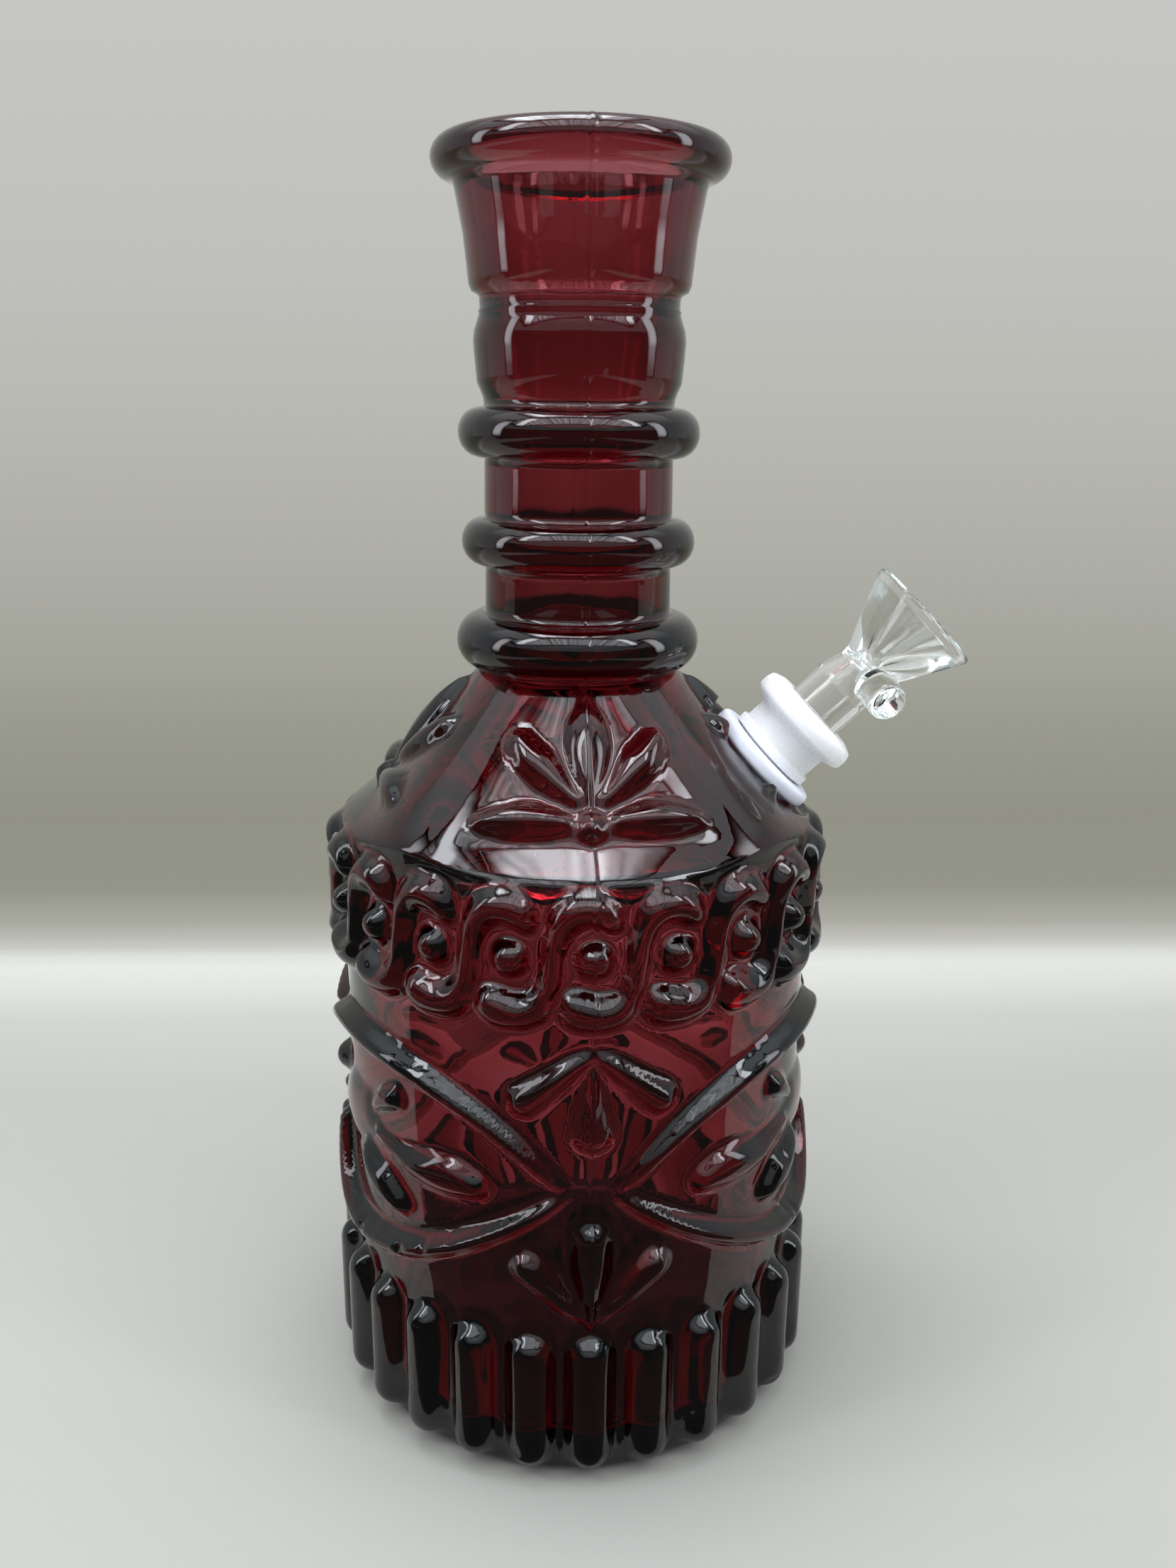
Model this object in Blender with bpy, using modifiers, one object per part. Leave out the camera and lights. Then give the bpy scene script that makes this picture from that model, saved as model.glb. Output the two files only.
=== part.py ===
# Pressed-glass decanter with a drilled shoulder that holds a silicone grommet, a silicone
# downstem and a clear glass slide bowl.  Units are metres, +Z is up, the base rests on z = 0.
# The downstem leaves the shoulder in the plane y = 0, towards +X.
import bmesh
import bpy
from math import cos, pi, radians, sin
from mathutils import Matrix, Vector

# ---- bottle: overall sizes ----
body_radius = 0.0535
body_height = 0.1395
shoulder_height = 0.0325
neck_height = 0.0945
glass_wall = 0.0038
floor_thickness = 0.0075

# ---- bottle: outline ----
foot_radius = 0.0500
foot_round = 0.0030
ledge_height = 0.0062
ledge_radius = 0.0437
neck_foot_radius = 0.0222
neck_radius = 0.0203
neck_bore_radius = 0.0168
collar_rings = ((0.0065, 0.0268, 0.0060), (0.0280, 0.0254, 0.0050), (0.0508, 0.0259, 0.0053))
groove_rise = 0.0260            # parting groove above the top collar ring
groove_radius = 0.0208
band_radius = 0.0222            # plain band under the groove
flare_mid_radius = 0.0236
flare_top_radius = 0.0262
lip_radius = 0.0040
lip_centre_radius = 0.0266
lip_rise = 0.0065               # neck's top to the underside of the rounded lip
turn_steps = 40

# ---- bottle: raised pattern ----
seam_angle = radians(-84.0)     # mould seam on the front, measured round +Z from the downstem
rib_count = 26
rib_height = 0.0345
rib_foot = 0.0025
rib_half_width = 0.0053
rib_depth = 0.0040
rib_lift = 0.0007
scroll_count = 20
scroll_height = 0.0290
scroll_thickness = 0.0024
scroll_lift = 0.0006
bead_radius = 0.0042
bead_depth = 0.0031
bead_lift = 0.0004
eye_corner = radians(83.0)      # half the angle that an eye panel spans
eye_rise = 0.0220
eye_drop = 0.0240
eye_ridge_thickness = 0.0029
eye_ridge_lift = 0.0012
petal_height = 0.0030

# ---- downstem seat ----
hole_place_radius = 0.0404      # where the downstem's axis leaves the shoulder
stem_elevation = radians(44.0)
running_gap = 0.0003
drill_reach = 0.0120            # how far the drilling clears the wall, each way

# ---- grommet ----
grommet_neck_radius = 0.0112
grommet_flange_radius = 0.0139
grommet_flange_thickness = 0.0036
grommet_lip_radius = 0.0128
grommet_lip_thickness = 0.0022
flange_stand_off = 0.0009       # the flange's underside above the shoulder at the hole
lip_stand_off = 0.0062          # the inner lip's top face below the shoulder at the hole

# ---- downstem ----
stem_radius = 0.0088
stem_tube_radius = 0.0072
stem_tube_bore = 0.0050
stem_below_collar = 0.1000
stem_shoulder_length = 0.0170
head_collar_radius = 0.0104
head_collar_length = 0.0021
head_radius = 0.0095
head_length = 0.0052
cap_radius = 0.0131
cap_length = 0.0064
cap_edge_length = 0.0042
socket_depth = 0.0190
slit_count = 6
slit_length = 0.0150
slit_width = 0.0012
slit_margin = 0.0060

# ---- slide bowl ----
joint_radius = 0.0070
joint_wall = 0.0013
joint_exposed = 0.0098
waist_radius = 0.0063
waist_length = 0.0068
funnel_radius = 0.0139
funnel_length = 0.0157
funnel_wall = 0.0015
funnel_rim_radius = 0.0008
draw_hole_radius = 0.0024
draw_hole_length = 0.0020
handle_radius = 0.0043
handle_reach = 0.0152
handle_turn = radians(-23.0)    # the handle's angle below level, seen down the axis
round_steps = 28

# ---- heights and places that follow from the sizes ----
shoulder_top = body_height + shoulder_height
bottle_height = shoulder_top + neck_height + lip_rise + 2 * lip_radius
lip_height = bottle_height - lip_radius
band_foot = body_height - 0.0015 - scroll_height
eye_height = (rib_foot + rib_height + band_foot) / 2
ledge_top = body_height + ledge_height
hole_radius = grommet_neck_radius + running_gap
grommet_bore = stem_radius + running_gap
socket_radius = joint_radius + running_gap


def shoulder_z(radius):
    share = (ledge_radius - radius) / (ledge_radius - neck_foot_radius)
    return ledge_top + share * (shoulder_top - ledge_top)


stem_origin = Vector((hole_place_radius, 0, shoulder_z(hole_place_radius)))
stem_frame = Matrix.Translation(stem_origin) @ Matrix.Rotation(pi / 2 - stem_elevation, 4, "Y")


# ---- helpers ----
def clear_scene():
    for thing in list(bpy.data.objects):
        bpy.data.objects.remove(thing, do_unlink=True)


def make_collection(name):
    collection = bpy.data.collections.new(name)
    bpy.context.scene.collection.children.link(collection)
    return collection


def make_material(name, colour, roughness, alpha=1.0, transmission=0.0):
    material = bpy.data.materials.new(name)
    material.use_nodes = True
    shader = material.node_tree.nodes["Principled BSDF"]
    shader.inputs["Base Color"].default_value = (*colour, 1.0)
    shader.inputs["Roughness"].default_value = roughness
    shader.inputs["Metallic"].default_value = 0.0
    shader.inputs["Alpha"].default_value = alpha
    shader.inputs["Transmission Weight"].default_value = transmission
    return material


def add_object(name, mesh, collection, material=None):
    thing = bpy.data.objects.new(name, mesh)
    collection.objects.link(thing)
    if material:
        mesh.materials.append(material)
    return thing


def hide_cutter(thing):
    thing.hide_render = True
    thing.display_type = "WIRE"


def turned(name, outline, collection, steps, material=None, cutter=False):
    # outline is a list of (radius, height) pairs that ends running down the outer side
    mesh = bpy.data.meshes.new(name)
    points = [(radius, 0, height) for radius, height in outline]
    edges = [(index, index + 1) for index in range(len(points) - 1)]
    mesh.from_pydata(points, edges, [])
    thing = add_object(name, mesh, collection, material)
    screw = thing.modifiers.new("turn", "SCREW")
    screw.axis = "Z"
    screw.steps = steps
    screw.render_steps = steps
    screw.use_merge_vertices = True
    screw.merge_threshold = 0.00001
    screw.use_smooth_shade = True
    if cutter:
        hide_cutter(thing)
    return thing


def closed_outline(outline):
    return outline + [outline[0]]


def combine(thing, other, operation):
    # other is one object, or a collection whose objects are all joined or cut at once
    boolean = thing.modifiers.new(other.name, "BOOLEAN")
    boolean.operation = operation
    boolean.solver = "EXACT"
    boolean.use_self = operation == "UNION"
    if isinstance(other, bpy.types.Collection):
        boolean.operand_type = "COLLECTION"
        boolean.collection = other
    else:
        boolean.object = other


def arc(centre_radius, centre_height, radius, start, end, steps):
    points = []
    for step in range(steps + 1):
        turn = start + (end - start) * step / steps
        points.append((centre_radius + radius * cos(turn), centre_height + radius * sin(turn)))
    return points


# ---- bottle ----
def collar_ring(height, ring_radius, half_height):
    # a ring of round section that swells from the neck
    swell = ring_radius - neck_radius
    points = []
    for step in range(6):
        turn = pi * step / 5
        points.append((neck_radius + swell * sin(turn), height + half_height * cos(turn)))
    return points


def bottle_outline():
    inner_radius = body_radius - glass_wall
    inner_ledge = ledge_radius - glass_wall
    inside = [
        (0, floor_thickness),
        (foot_radius - 2 * glass_wall, floor_thickness),
        (inner_radius, floor_thickness + 2 * glass_wall),
        (inner_radius, body_height - glass_wall),
        (inner_ledge, ledge_top - glass_wall),
        (neck_bore_radius, shoulder_top - 0.0015),
    ]
    flare_base = shoulder_top + collar_rings[2][0] + groove_rise
    mouth_radius = lip_centre_radius - lip_radius
    inside += [
        (neck_bore_radius, flare_base - 0.0080),
        (flare_mid_radius - glass_wall, flare_base + 0.0080),
        (mouth_radius, lip_height - lip_radius),
    ]
    lip = arc(lip_centre_radius, lip_height, lip_radius, pi, -pi / 2, 6)
    neck = [
        (flare_top_radius, lip_height - lip_radius - 0.0004),
        (flare_mid_radius + 0.0006, flare_base + 0.0130),
        (flare_mid_radius - 0.0003, flare_base + 0.0042),
        (groove_radius, flare_base),
        (band_radius, flare_base - 0.0045),
        (band_radius - 0.0005, flare_base - 0.0160),
    ]
    for offset, ring_radius, half_height in reversed(collar_rings):
        neck += collar_ring(shoulder_top + offset, ring_radius, half_height)
    body = [
        (neck_foot_radius, shoulder_top),
        (ledge_radius, ledge_top),
        (body_radius - 0.0008, body_height),
        (body_radius, body_height - 0.0020),
        (body_radius, foot_round + 0.0010),
        (foot_radius, 0),
        (0, 0),
    ]
    return inside + lip + neck + body


def wall_radius(height):
    # the plain outside of the bottle, below the neck
    if height <= body_height - 0.0020:
        return body_radius
    if height <= ledge_top:
        share = (height - body_height) / ledge_height
        return body_radius + (ledge_radius - body_radius) * max(0.0, share)
    share = (height - ledge_top) / (shoulder_top - ledge_top)
    return ledge_radius + (neck_foot_radius - ledge_radius) * share


def on_wall(angle, height, lift=0.0):
    # angle is measured from the mould seam, positive towards the downstem
    radius = wall_radius(height) + lift
    turn = seam_angle + angle
    return Vector((radius * cos(turn), radius * sin(turn), height))


def outward(angle, height):
    step = 0.0005
    up = on_wall(angle, height + step) - on_wall(angle, height - step)
    along = Vector((-sin(seam_angle + angle), cos(seam_angle + angle), 0))
    return along.cross(up).normalized()


def add_petal(shape, start, end, width, height):
    # a long drop that lies on the wall from one place to another, each an (angle, height) pair
    first = on_wall(*start)
    last = on_wall(*end)
    middle = ((start[0] + end[0]) / 2, (start[1] + end[1]) / 2)
    along = (last - first).normalized()
    lift = outward(*middle)
    lift = (lift - along * lift.dot(along)).normalized()
    side = lift.cross(along)
    turn = Matrix((side, lift, along)).transposed().to_4x4()
    size = Matrix.Diagonal((width / 2, height, (last - first).length / 2, 1))
    place = Matrix.Translation(on_wall(*middle) - lift * height * 0.1)
    bmesh.ops.create_uvsphere(shape, u_segments=6, v_segments=4, radius=1, matrix=place @ turn @ size)


def relief(name, build, collection):
    shape = bmesh.new()
    build(shape)
    mesh = bpy.data.meshes.new(name)
    shape.to_mesh(mesh)
    shape.free()
    thing = add_object(name, mesh, collection)
    hide_cutter(thing)
    return thing


def build_ribs(shape):
    for index in range(rib_count):
        turn = seam_angle + 2 * pi * index / rib_count
        half = rib_height / 2
        ends = bmesh.ops.create_uvsphere(shape, u_segments=6, v_segments=5, radius=rib_half_width)
        for vertex in ends["verts"]:
            vertex.co.z += (half - rib_half_width) * (1 if vertex.co.z > 0 else -1)
        squash = Matrix.Diagonal((rib_depth / rib_half_width, 1, 1, 1))
        place = Matrix.Translation((body_radius + rib_lift, 0, rib_foot + half))
        matrix = Matrix.Rotation(turn, 4, "Z") @ place @ squash @ Matrix.Rotation(pi / 6, 4, "Z")
        bmesh.ops.transform(shape, matrix=matrix, verts=ends["verts"])


def build_beads(shape):
    for index in range(scroll_count):
        angle = 2 * pi * index / scroll_count
        place = Matrix.Translation(on_wall(angle, band_foot + scroll_height / 2, bead_lift))
        spin = Matrix.Rotation(seam_angle + angle, 4, "Z")
        squash = Matrix.Diagonal((bead_depth / bead_radius, 1, 1, 1))
        matrix = place @ spin @ squash @ Matrix.Rotation(pi / 2, 4, "Y")
        bmesh.ops.create_uvsphere(shape, u_segments=6, v_segments=4, radius=bead_radius, matrix=matrix)


def build_front_ornaments(shape):
    low = rib_foot + rib_height + 0.0030
    high = band_foot - 0.0055
    for turn in (0, pi):
        for side in (-1, 1):
            add_petal(shape, (turn + side * radians(3.5), low + 0.0030),
                      (turn + side * radians(16.5), low + 0.0155), 0.0058, petal_height)
            add_petal(shape, (turn + side * radians(1.5), high),
                      (turn + side * radians(17.0), high - 0.0120), 0.0058, petal_height)
        add_petal(shape, (turn, low + 0.0010), (turn, low + 0.0245), 0.0082, petal_height)
        add_petal(shape, (turn, high - 0.0030), (turn, high - 0.0220), 0.0082, petal_height)


def build_palmettes(shape):
    foot = ledge_top + 0.0040
    for index in range(4):
        turn = index * pi / 2
        add_petal(shape, (turn, foot + 0.0020), (turn, shoulder_top - 0.0025), 0.0090, petal_height)
        for side in (-1, 1):
            add_petal(shape, (turn + side * radians(6), foot + 0.0025),
                      (turn + side * radians(30), foot + 0.0120), 0.0066, petal_height)
            add_petal(shape, (turn + side * radians(5), foot - 0.0010),
                      (turn + side * radians(31), foot - 0.0015), 0.0052, petal_height)


def build_leaves(shape):
    for turn in (pi / 2, -pi / 2):
        for side in (-1, 1):
            add_petal(shape, (turn + side * radians(66), eye_height),
                      (turn + side * radians(36), eye_height + 0.0020), 0.0095, petal_height)
            add_petal(shape, (turn + side * radians(44), eye_height - 0.0085),
                      (turn + side * radians(28), eye_height - 0.0085), 0.0085, petal_height)


def eye_ridge(centre, sign):
    # one long ridge, above or below an eye panel
    rise, power = (eye_rise, 4.5) if sign > 0 else (eye_drop, 3.0)
    points = []
    for step in range(13):
        share = -1 + step / 6
        swing = sin(share * pi / 2) * (eye_corner - radians(2))
        height = eye_height + sign * (0.0022 + rise * (1 - abs(swing / eye_corner) ** power))
        points.append(on_wall(centre + swing, height, eye_ridge_lift))
    return points


def scroll_line(index):
    # an S-shaped scroll: a hook under one bead, a slanted stem and a lobe over the next bead
    pitch = 2 * pi / scroll_count
    middle = band_foot + scroll_height / 2
    half = scroll_height / 2 - scroll_thickness
    shape = ((-0.40, -0.55), (-0.15, -0.95), (0.30, -0.85), (0.50, 0.0),
             (0.70, 0.85), (1.15, 0.95), (1.40, 0.55))
    points = []
    for across, up in shape:
        points.append(on_wall((index + across) * pitch, middle + up * half, scroll_lift))
    return points


def ridges(name, lines, radius, resolution, collection):
    curve = bpy.data.curves.new(name, "CURVE")
    curve.dimensions = "3D"
    curve.bevel_depth = radius
    curve.bevel_resolution = resolution
    curve.use_fill_caps = True
    for line in lines:
        spline = curve.splines.new("POLY")
        spline.points.add(len(line) - 1)
        for point, place in zip(spline.points, line):
            point.co = (*place, 1)
    guide = bpy.data.objects.new(name + "_line", curve)
    collection.objects.link(guide)
    bpy.context.view_layer.update()
    mesh = bpy.data.meshes.new_from_object(guide.evaluated_get(bpy.context.evaluated_depsgraph_get()))
    shape = bmesh.new()
    shape.from_mesh(mesh)
    bmesh.ops.remove_doubles(shape, verts=shape.verts, dist=0.00001)
    shape.to_mesh(mesh)
    shape.free()
    thing = add_object(name, mesh, collection)
    thing.matrix_world = guide.matrix_world.copy()
    bpy.data.objects.remove(guide, do_unlink=True)
    bpy.data.curves.remove(curve)
    hide_cutter(thing)
    return thing


def cutter_cylinder(name, radius, low, high, collection):
    mesh = bpy.data.meshes.new(name)
    shape = bmesh.new()
    place = Matrix.Translation((0, 0, (low + high) / 2))
    bmesh.ops.create_cone(shape, cap_ends=True, segments=round_steps, radius1=radius, radius2=radius,
                          depth=high - low, matrix=place)
    shape.to_mesh(mesh)
    shape.free()
    thing = add_object(name, mesh, collection)
    thing.matrix_world = stem_frame
    hide_cutter(thing)
    return thing


def make_bottle(parts, material):
    bottle = turned("bottle", bottle_outline(), parts, turn_steps, material)
    pattern = make_collection("raised_pattern")
    eyes = [eye_ridge(centre, sign) for centre in (pi / 2, -pi / 2) for sign in (1, -1)]
    scrolls = [scroll_line(index) for index in range(scroll_count)]
    relief("base_ribs", build_ribs, pattern)
    relief("beads", build_beads, pattern)
    relief("ornaments", build_front_ornaments, pattern)
    relief("palmettes", build_palmettes, pattern)
    relief("leaves", build_leaves, pattern)
    ridges("eye_ridges", eyes, eye_ridge_thickness, 1, pattern)
    ridges("scrolls", scrolls, scroll_thickness, 0, pattern)
    combine(bottle, pattern, "UNION")
    drilling = make_collection("drilling")
    flange_room = grommet_flange_radius + running_gap
    lip_room = grommet_lip_radius + running_gap
    cutter_cylinder("flange_seat", flange_room, flange_stand_off - running_gap, drill_reach, drilling)
    cutter_cylinder("drilled_hole", hole_radius, -drill_reach - 0.0030, drill_reach - 0.0005, drilling)
    cutter_cylinder("lip_seat", lip_room, -drill_reach - 0.0035, running_gap - lip_stand_off, drilling)
    combine(bottle, drilling, "DIFFERENCE")


# ---- pieces on the downstem's axis, drawn along their own +Z ----
def make_grommet(parts, axis, material):
    flange_top = flange_stand_off + grommet_flange_thickness
    edge = grommet_flange_thickness * 0.36
    outline = [
        (grommet_bore, -lip_stand_off - grommet_lip_thickness),
        (grommet_bore, flange_top),
        (grommet_flange_radius - edge, flange_top),
        (grommet_flange_radius, flange_top - edge),
        (grommet_flange_radius, flange_stand_off + edge),
        (grommet_flange_radius - edge, flange_stand_off),
        (grommet_neck_radius, flange_stand_off),
        (grommet_neck_radius, -lip_stand_off),
        (grommet_lip_radius, -lip_stand_off),
        (grommet_lip_radius - edge, -lip_stand_off - grommet_lip_thickness),
    ]
    grommet = turned("grommet", closed_outline(outline), parts, round_steps, material)
    grommet.parent = axis


def make_downstem(parts, cutters, axis, material):
    seat = flange_stand_off + grommet_flange_thickness + running_gap
    tip = seat - stem_below_collar
    neck_end = seat - stem_shoulder_length
    collar_top = seat + head_collar_length
    cap_foot = collar_top + head_length
    cap_top = cap_foot + cap_length
    edge_low = cap_foot + 0.0011
    socket_floor = cap_top - socket_depth
    outline = [
        (stem_tube_bore, tip),
        (stem_tube_bore, socket_floor - 0.0015),
        (socket_radius, socket_floor),
        (socket_radius, cap_top),
        (cap_radius - 0.0030, cap_top),
        (cap_radius - 0.0006, cap_top - 0.0009),
        (cap_radius, cap_top - 0.0020),
        (cap_radius, edge_low + 0.0008),
        (cap_radius - 0.0007, edge_low),
        (head_radius, cap_foot),
        (head_radius, collar_top),
        (head_collar_radius, collar_top),
        (head_collar_radius, seat),
        (stem_radius, seat),
        (stem_radius, neck_end),
        (stem_tube_radius, neck_end - 0.0040),
        (stem_tube_radius, tip),
    ]
    downstem = turned("downstem", closed_outline(outline), parts, round_steps, material)
    downstem.parent = axis
    shape = bmesh.new()
    for index in range(slit_count // 2):
        size = Matrix.Diagonal((4 * stem_tube_radius, slit_width, slit_length, 1))
        place = Matrix.Translation((0, 0, tip + slit_margin + slit_length / 2))
        spin = Matrix.Rotation(2 * pi * index / slit_count, 4, "Z")
        bmesh.ops.create_cube(shape, size=1, matrix=spin @ place @ size)
    mesh = bpy.data.meshes.new("diffuser_slits")
    shape.to_mesh(mesh)
    shape.free()
    slits = add_object("diffuser_slits", mesh, cutters)
    slits.matrix_world = stem_frame
    hide_cutter(slits)
    boolean = downstem.modifiers.new("slits", "BOOLEAN")
    boolean.operation = "DIFFERENCE"
    boolean.solver = "EXACT"
    boolean.use_self = True
    boolean.object = slits
    return cap_top, socket_floor


def make_bowl(parts, cutters, axis, material, cap_top, socket_floor):
    foot = socket_floor + running_gap
    joint_top = cap_top + joint_exposed
    waist_top = joint_top + waist_length
    mouth = waist_top + funnel_length
    hole_top = waist_top + draw_hole_length
    solid = [
        (0, mouth - 0.0004),
        (funnel_radius - funnel_rim_radius, mouth),
        (funnel_radius + 0.0003, mouth - funnel_rim_radius),
        (funnel_radius, mouth - 2 * funnel_rim_radius),
        (waist_radius, waist_top),
        (waist_radius, joint_top + 0.0006),
        (joint_radius, joint_top - 0.0008),
        (joint_radius, foot),
        (0, foot),
    ]
    bowl = turned("slide_bowl", solid, parts, round_steps, material)
    bowl.parent = axis
    bore = joint_radius - joint_wall
    waist_bore = waist_radius - joint_wall
    hollow = [
        (0, mouth + 0.0050),
        (funnel_radius - funnel_wall, mouth + 0.0050),
        (funnel_radius - funnel_wall, mouth - 0.0002),
        (draw_hole_radius, hole_top),
        (draw_hole_radius, hole_top - draw_hole_length),
        (waist_bore, waist_top - 0.0022),
        (waist_bore, joint_top),
        (bore, joint_top - 0.0020),
        (bore, foot - 0.0050),
        (0, foot - 0.0050),
    ]
    inside = turned("bowl_hollow", hollow, cutters, round_steps, cutter=True)
    inside.matrix_world = stem_frame
    handle_height = joint_top + 0.0035
    mesh = bpy.data.meshes.new("bowl_handle")
    shape = bmesh.new()
    length = handle_reach - 0.0020
    spin = Matrix.Rotation(-pi / 2 - handle_turn, 4, "Z") @ Matrix.Rotation(pi / 2, 4, "Y")
    place = Matrix.Translation((0, 0, handle_height))
    centre = Matrix.Translation((0, 0, 0.0020 + length / 2))
    bmesh.ops.create_cone(shape, cap_ends=True, segments=20, radius1=handle_radius,
                          radius2=handle_radius, depth=length, matrix=place @ spin @ centre)
    shape.to_mesh(mesh)
    shape.free()
    handle = add_object("bowl_handle", mesh, cutters)
    handle.matrix_world = stem_frame
    hide_cutter(handle)
    combine(bowl, handle, "UNION")
    combine(bowl, inside, "DIFFERENCE")


def main():
    clear_scene()
    parts = make_collection("decanter_water_pipe")
    cutters = make_collection("cutters")
    amethyst = make_material("amethyst_glass", (0.22, 0.012, 0.022), 0.05, 0.6, 0.9)
    grommet_white = make_material("white_silicone", (0.72, 0.78, 0.95), 0.45)
    frosted = make_material("frosted_silicone", (0.80, 0.80, 0.82), 0.4, 0.9)
    clear = make_material("clear_glass", (0.95, 0.96, 0.95), 0.02, 0.3, 1.0)
    axis = bpy.data.objects.new("stem_axis", None)
    parts.objects.link(axis)
    axis.matrix_world = stem_frame
    make_bottle(parts, amethyst)
    make_grommet(parts, axis, grommet_white)
    cap_top, socket_floor = make_downstem(parts, cutters, axis, frosted)
    make_bowl(parts, cutters, axis, clear, cap_top, socket_floor)


main()
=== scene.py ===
import bmesh
import bpy
import math
import numpy as np
from mathutils import Matrix, Vector


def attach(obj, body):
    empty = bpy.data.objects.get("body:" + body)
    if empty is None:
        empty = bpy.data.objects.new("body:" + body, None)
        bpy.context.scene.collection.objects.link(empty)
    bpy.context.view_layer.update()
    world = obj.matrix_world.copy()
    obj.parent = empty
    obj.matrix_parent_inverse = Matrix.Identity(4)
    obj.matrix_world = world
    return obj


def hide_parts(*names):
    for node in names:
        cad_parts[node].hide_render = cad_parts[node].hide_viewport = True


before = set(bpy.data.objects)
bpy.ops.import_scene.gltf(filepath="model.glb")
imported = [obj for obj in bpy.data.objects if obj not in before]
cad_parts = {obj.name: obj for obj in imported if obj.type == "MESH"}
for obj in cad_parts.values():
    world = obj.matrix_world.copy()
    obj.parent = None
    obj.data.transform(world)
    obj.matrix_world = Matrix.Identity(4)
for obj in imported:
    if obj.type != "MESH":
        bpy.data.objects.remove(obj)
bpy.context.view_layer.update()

mm = 0.001
seamAngle = math.radians(-84.0)      # mould seam, measured round +Z from the stem's side
print("frame loaded")


# small helpers

def hexColour(text):
    values = [int(text[i:i + 2], 16) / 255 for i in (0, 2, 4)]
    linear = [v / 12.92 if v <= 0.04045 else ((v + 0.055) / 1.055) ** 2.4 for v in values]
    return (*linear, 1.0)


def addNode(tree, kind, settings=None, values=None, links=None):
    node = tree.nodes.new(kind)
    for name, value in (settings or {}).items():
        setattr(node, name, value)
    for key, value in (values or {}).items():
        node.inputs[key].default_value = value
    for key, socket in (links or {}).items():
        tree.links.new(socket, node.inputs[key])
    return node


def newMaterial(name):
    material = bpy.data.materials.new(name)
    material.use_nodes = True
    tree = material.node_tree
    tree.nodes.clear()
    output = addNode(tree, "ShaderNodeOutputMaterial")
    place = addNode(tree, "ShaderNodeTexCoord").outputs["Object"]
    return material, tree, output, place


def meshObject(name, points, faces, material=None, smooth=True):
    mesh = bpy.data.meshes.new(name)
    mesh.from_pydata([tuple(p) for p in points], [], [tuple(f) for f in faces])
    thing = bpy.data.objects.new(name, mesh)
    bpy.context.scene.collection.objects.link(thing)
    if material:
        mesh.materials.append(material)
    if smooth:
        mesh.polygons.foreach_set("use_smooth", [True] * len(mesh.polygons))
    mesh.update()
    return thing


def faceOut(thing):
    shape = bmesh.new()
    shape.from_mesh(thing.data)
    bmesh.ops.remove_doubles(shape, verts=shape.verts, dist=1e-6)
    bmesh.ops.recalc_face_normals(shape, faces=shape.faces)
    shape.to_mesh(thing.data)
    shape.free()
    thing.data.update()
    return thing


def bakeModifiers(thing):
    # the evaluated result becomes the object's own plain mesh
    bpy.context.view_layer.update()
    graph = bpy.context.evaluated_depsgraph_get()
    made = bpy.data.meshes.new_from_object(thing.evaluated_get(graph))
    thing.modifiers.clear()
    thing.data = made
    return thing


def smoothLine(points, per=6, closed=False):
    # Catmull-Rom curve through rows of numbers
    points = np.asarray(points, float)
    count = len(points)
    made = []
    for i in range(count if closed else count - 1):
        if closed:
            a, b, c, d = (points[(i + k) % count] for k in (-1, 0, 1, 2))
        else:
            a, b, c, d = (points[min(max(i + k, 0), count - 1)] for k in (-1, 0, 1, 2))
        for step in range(per):
            t = step / per
            made.append(0.5 * (2 * b + (c - a) * t + (2 * a - 5 * b + 4 * c - d) * t * t
                               + (3 * b - a - 3 * c + d) * t ** 3))
    if not closed:
        made.append(points[-1])
    return np.array(made)


def maths(tree, operation, first, second=None, clamp=False):
    # each of the two is a number or another node's socket
    values, links = {}, {}
    for slot, item in ((0, first), (1, second)):
        if isinstance(item, (int, float)):
            values[slot] = item
        elif item is not None:
            links[slot] = item
    settings = {"operation": operation, "use_clamp": clamp}
    return addNode(tree, "ShaderNodeMath", settings, values, links).outputs[0]


def mapped(tree, value, low, high, start=0.0, end=1.0, smooth=False):
    kind = "SMOOTHSTEP" if smooth else "LINEAR"
    values = {"From Min": low, "From Max": high, "To Min": start, "To Max": end}
    node = addNode(tree, "ShaderNodeMapRange", {"interpolation_type": kind}, values, {"Value": value})
    return node.outputs["Result"]


def noise(tree, place, scale, detail, roughness=0.5):
    return addNode(tree, "ShaderNodeTexNoise", values={
        "Scale": scale, "Detail": detail, "Roughness": roughness}, links={"Vector": place}).outputs[0]


def bumped(tree, height, strength, distance):
    values = {"Strength": strength, "Distance": distance}
    return addNode(tree, "ShaderNodeBump", values=values, links={"Height": height}).outputs[0]


# colours and finishes

def pressedGlass():
    # manganese-tinted soda-lime glass, pressed in an iron mould and fire polished: mirror gloss with
    # a faint chill ripple, red where it is thin and nearly black where light goes through a lot of it
    material, tree, output, place = newMaterial("amethystPressedGlass")
    ripple = noise(tree, place, 120.0, 2.0, 0.45)
    haze = mapped(tree, noise(tree, place, 900.0, 3.0), 0.60, 0.80, 0.0, 0.015)
    shader = addNode(tree, "ShaderNodeBsdfPrincipled", values={
        "Base Color": (1.0, 1.0, 1.0, 1.0), "IOR": 1.52, "Transmission Weight": 1.0,
    }, links={"Roughness": haze, "Normal": bumped(tree, ripple, 0.10, 0.0006)})
    tint = addNode(tree, "ShaderNodeVolumeAbsorption", values={
        "Color": (0.66, 0.12, 0.19, 1.0), "Density": 515.0})
    tree.links.new(shader.outputs[0], output.inputs["Surface"])
    tree.links.new(tint.outputs[0], output.inputs["Volume"])
    return material


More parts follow.
